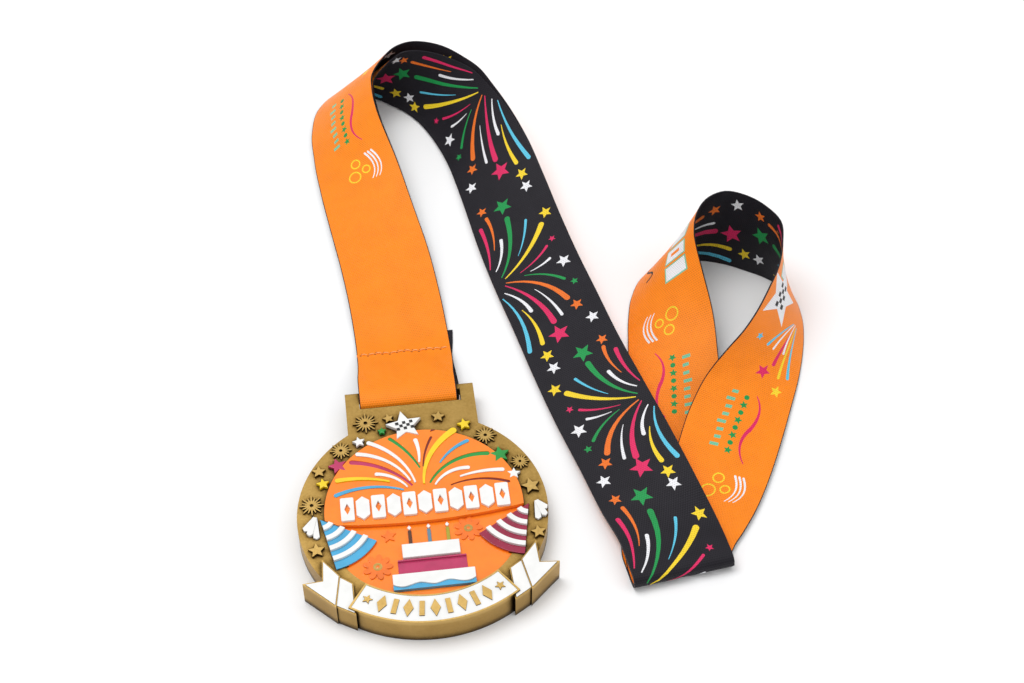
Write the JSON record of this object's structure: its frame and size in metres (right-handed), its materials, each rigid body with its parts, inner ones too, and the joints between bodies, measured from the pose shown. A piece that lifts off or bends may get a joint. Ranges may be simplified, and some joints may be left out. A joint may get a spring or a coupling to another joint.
{
  "type": "sports finisher medal",
  "caption": "Round cast finisher medal with raised enamelled relief, a curved banner and a slotted tab, hanging from a sewn two-colour neck ribbon laid out flat.",
  "frame": {"origin": "centre of the disc on its flat back face", "axes": "+Z out of the decorated front, +Y from the disc towards the ribbon slot, +X to the right seen from the front"},
  "size_m": [0.1387, 0.1982, 0.0254],
  "materials": {
    "antique_gold_plating": "antique plated cast metal, darker in its recesses",
    "orange_enamel": "soft enamel, gloss",
    "white_enamel": "soft enamel, gloss",
    "yellow_enamel": "soft enamel, gloss",
    "blue_enamel": "soft enamel, gloss",
    "green_enamel": "soft enamel, gloss",
    "pink_enamel": "soft enamel, gloss",
    "dark_red_enamel": "soft enamel, gloss",
    "deep_orange_enamel": "soft enamel, gloss",
    "brown_enamel": "soft enamel, gloss",
    "slate_enamel": "soft enamel, gloss",
    "olive_enamel": "soft enamel, gloss",
    "dark_print": "printed on the enamel",
    "woven_ribbon": "woven polyester, printed orange on one side and black on the other",
    "stitch_thread": "spun polyester thread"
  },
  "bodies": {
    "ribbon": {"ribbon_slot_loop": "woven_ribbon", "ribbon_rise": "woven_ribbon", "ribbon_top_bend": "woven_ribbon", "ribbon_diagonal": "woven_ribbon", "ribbon_right_strand": "woven_ribbon", "ribbon_neck_back": "woven_ribbon", "ribbon_left_strand": "woven_ribbon", "ribbon_fold": "woven_ribbon", "seam_stitches": "stitch_thread"},
    "medal": {"medal_casting": "antique_gold_plating", "banner_enamel": "white_enamel", "banner_tail_enamel": "white_enamel", "banner_fold_enamel": "white_enamel", "upper_field_enamel": "orange_enamel", "lower_field_enamel": "orange_enamel", "painted_flowers": "deep_orange_enamel", "rays_white": "white_enamel", "rays_yellow": "yellow_enamel", "rays_blue": "blue_enamel", "rays_green": "green_enamel", "rays_pink": "pink_enamel", "rays_dark_red": "dark_red_enamel", "stars_white": "white_enamel", "stars_green": "green_enamel", "stars_yellow": "yellow_enamel", "stars_pink": "pink_enamel", "emblem_star": "white_enamel", "emblem_chequer": "dark_print", "spark_dark_red": "dark_red_enamel", "ornament_band": "white_enamel", "hat_left_stripes_recessed": "blue_enamel", "hat_left_stripes_raised": "white_enamel", "hat_right_stripes_recessed": "pink_enamel", "hat_right_stripes_raised": "white_enamel", "hat_tassels": "white_enamel", "cake_white_tiers": "white_enamel", "cake_pink_tier": "pink_enamel", "cake_icing": "blue_enamel", "candle_brown": "brown_enamel", "candle_blue": "slate_enamel", "candle_olive": "olive_enamel", "candle_flames": "white_enamel"}
  },
  "joints": [
    {"name": "medal_swing", "type": "hinge", "parent": "ribbon", "child": "medal", "pos_m": [0, 0.03845, 0.0046], "axis": [-1, 0, 0], "range_deg": [-110, 110]}
  ]
}
